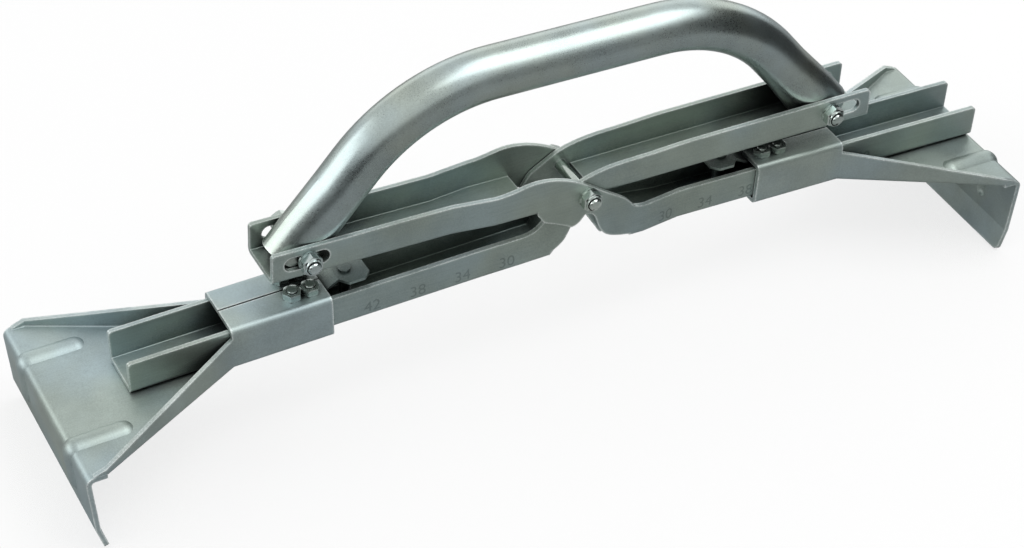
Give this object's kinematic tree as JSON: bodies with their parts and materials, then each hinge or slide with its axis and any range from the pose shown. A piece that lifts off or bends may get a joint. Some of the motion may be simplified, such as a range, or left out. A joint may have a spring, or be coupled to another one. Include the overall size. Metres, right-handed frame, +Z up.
{
  "type": "slab lifting clamp",
  "caption": "Hand-held scissor clamp of folded steel sheet for lifting paving slabs: crossed levers on a pivot bolt, bent tube handle and sliding jaw shoes with spring latches.",
  "frame": {"origin": "floor under the middle of the clamp standing on its jaws", "axes": "+X along the clamp, from the left jaw to the right one, +Y to its back, +Z up"},
  "size_m": [0.4306, 0.0952, 0.146],
  "materials": {
    "lever_sheet": "zinc plated sheet, satin",
    "shoe_sheet": "zinc plated sheet, satin",
    "handle_steel": "zinc plated tube, satin",
    "fastener_zinc": "bright zinc",
    "latch_steel": "zinc plated spring steel"
  },
  "bodies": {
    "outer_lever": {"outer_lever": "lever_sheet", "pivot_bolt": "fastener_zinc", "pivot_nut": "fastener_zinc", "pivot_washers": "fastener_zinc"},
    "inner_lever": {"inner_lever": "lever_sheet"},
    "left_slider": {"left_handle_bolt": "fastener_zinc", "left_handle_nut": "fastener_zinc", "left_handle_washers": "fastener_zinc"},
    "handle": {"handle_tube": "handle_steel", "right_handle_bolt": "fastener_zinc", "right_handle_nut": "fastener_zinc", "right_handle_washers": "fastener_zinc"},
    "left_shoe": {"left_shoe": "shoe_sheet", "left_latch_leaf": "latch_steel", "left_latch_screws": "fastener_zinc", "left_latch_nuts": "fastener_zinc"},
    "right_shoe": {"right_shoe": "shoe_sheet", "right_latch_leaf": "latch_steel", "right_latch_screws": "fastener_zinc", "right_latch_nuts": "fastener_zinc"},
    "left_latch": {"left_latch_tongue": "latch_steel", "left_latch_pin": "latch_steel"},
    "right_latch": {"right_latch_tongue": "latch_steel", "right_latch_pin": "latch_steel"}
  },
  "joints": [
    {"name": "lever_hinge", "type": "hinge", "parent": "outer_lever", "child": "inner_lever", "pos_m": [0.01506, 0, 0.07121], "axis": [0, -1, 0], "range_deg": [0, 34]},
    {"name": "left_bolt_slide", "type": "slide", "parent": "outer_lever", "child": "left_slider", "axis": [-0.9997, 0, 0.0249], "range_m": [0, 0.0076]},
    {"name": "handle_hinge", "type": "hinge", "parent": "left_slider", "child": "handle", "pos_m": [-0.10717, 0, 0.07956], "axis": [0, -1, 0], "range_deg": [0, 17]},
    {"name": "left_shoe_slide", "type": "slide", "parent": "inner_lever", "child": "left_shoe", "axis": [-0.9997, 0, -0.0232], "range_m": [-0.06, 0.03]},
    {"name": "right_shoe_slide", "type": "slide", "parent": "outer_lever", "child": "right_shoe", "axis": [0.9996, 0, -0.0268], "range_m": [-0.03, 0.06]},
    {"name": "left_latch_lift", "type": "slide", "parent": "left_shoe", "child": "left_latch", "axis": [-0.0232, 0, 0.9997], "range_m": [-0.0022, 0], "stiffness_N_per_m": 800, "springref_m": -0.0022},
    {"name": "right_latch_lift", "type": "slide", "parent": "right_shoe", "child": "right_latch", "axis": [0.0268, 0, 0.9996], "range_m": [-0.0022, 0], "stiffness_N_per_m": 800, "springref_m": -0.0022}
  ],
  "couplings": [
    {"joint": "left_bolt_slide", "follows": "lever_hinge", "m_per_rad": 0.01224},
    {"joint": "handle_hinge", "follows": "lever_hinge", "ratio": 0.4883}
  ]
}
